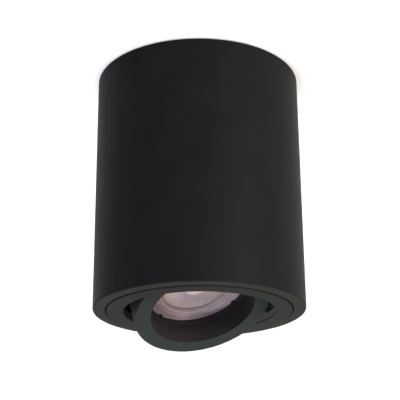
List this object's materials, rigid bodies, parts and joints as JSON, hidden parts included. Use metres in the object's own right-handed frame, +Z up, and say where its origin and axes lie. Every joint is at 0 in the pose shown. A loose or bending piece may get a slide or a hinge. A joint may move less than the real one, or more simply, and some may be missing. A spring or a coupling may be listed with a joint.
{
  "type": "surface mounted ceiling spotlight",
  "caption": "Black tube-shaped surface mounted ceiling spotlight with a turning front plate and a tilting ring that holds a reflector lamp.",
  "frame": {"origin": "centre of the ceiling bracket's slot pattern, on the ceiling plane", "axes": "+Z up into the ceiling, along the tube's axis; +X along the bracket; the light hangs down along -Z and the picture was taken from the -Y side"},
  "size_m": [0.098, 0.098, 0.1284],
  "materials": {
    "bracket_steel": "galvanised sheet",
    "housing_paint": "matt black powder coat",
    "plate_paint": "matt black powder coat",
    "ring_paint": "matt black powder coat",
    "screw_steel": "zinc plated",
    "spring_steel": "bright rolled strip and wire",
    "grommet_rubber": "matt",
    "terminal_plastic": "moulded",
    "terminal_brass": "machined",
    "tag_tin": "tinned copper",
    "washer_nylon": "moulded nylon",
    "lamp_plastic": "moulded thermoplastic",
    "lens_plastic": "clear moulded lens",
    "reflector_metal": "vacuum metallised, softly bright",
    "board_aluminium": "white solder mask on aluminium",
    "led_phosphor": "cast silicone with phosphor",
    "circuit_board": "glass-epoxy laminate",
    "component_black": "moulded",
    "holder_ceramic": "unglazed steatite",
    "live_insulation": "silicone insulation, brown",
    "neutral_insulation": "silicone insulation, blue",
    "earth_insulation": "insulation, green and yellow"
  },
  "bodies": {
    "fixture": {"ceiling_bracket": "bracket_steel", "housing": "housing_paint", "housing_screws": "screw_steel", "cable_grommet": "grommet_rubber", "swivel_stop_pin": "screw_steel", "terminal_block": "terminal_plastic", "terminal_clamps": "terminal_brass", "terminal_screws": "screw_steel", "terminal_block_screw": "screw_steel", "earth_screw": "screw_steel", "earth_washer": "spring_steel", "earth_ring_tag": "tag_tin", "earth_lead": "earth_insulation", "live_lead_upper": "live_insulation", "neutral_lead_upper": "neutral_insulation"},
    "swivel_plate": {"front_plate": "plate_paint", "leaf_springs": "spring_steel", "spring_rivets": "screw_steel", "friction_washers": "washer_nylon", "disc_springs": "spring_steel", "lead_clip": "spring_steel", "lead_clip_screw": "screw_steel", "live_lead_lower": "live_insulation", "neutral_lead_lower": "neutral_insulation"},
    "lamp_head": {"gimbal_ring": "ring_paint", "pivot_screws": "screw_steel", "lamp_clip": "spring_steel", "lamp_body": "lamp_plastic", "lamp_cover": "lens_plastic", "lamp_reflector": "reflector_metal", "led_board": "board_aluminium", "led_chip": "led_phosphor", "lamp_base": "lamp_plastic", "driver_board": "circuit_board", "driver_components": "component_black", "lamp_pins": "terminal_brass", "lampholder": "holder_ceramic", "lampholder_back": "holder_ceramic", "lampholder_screws": "screw_steel", "lampholder_contacts": "terminal_brass"}
  },
  "joints": [
    {"name": "front_plate_swivel", "type": "hinge", "parent": "fixture", "child": "swivel_plate", "pos_m": [0, 0, 0], "axis": [0, 0, 1], "range_deg": [-175, 175], "deforming": ["live_lead_upper", "neutral_lead_upper"]},
    {"name": "lamp_tilt", "type": "hinge", "parent": "swivel_plate", "child": "lamp_head", "pos_m": [0, 0, -0.108], "axis": [0.8406, 0.5417, 0], "range_deg": [0, 50], "deforming": ["live_lead_lower", "neutral_lead_lower"]}
  ]
}
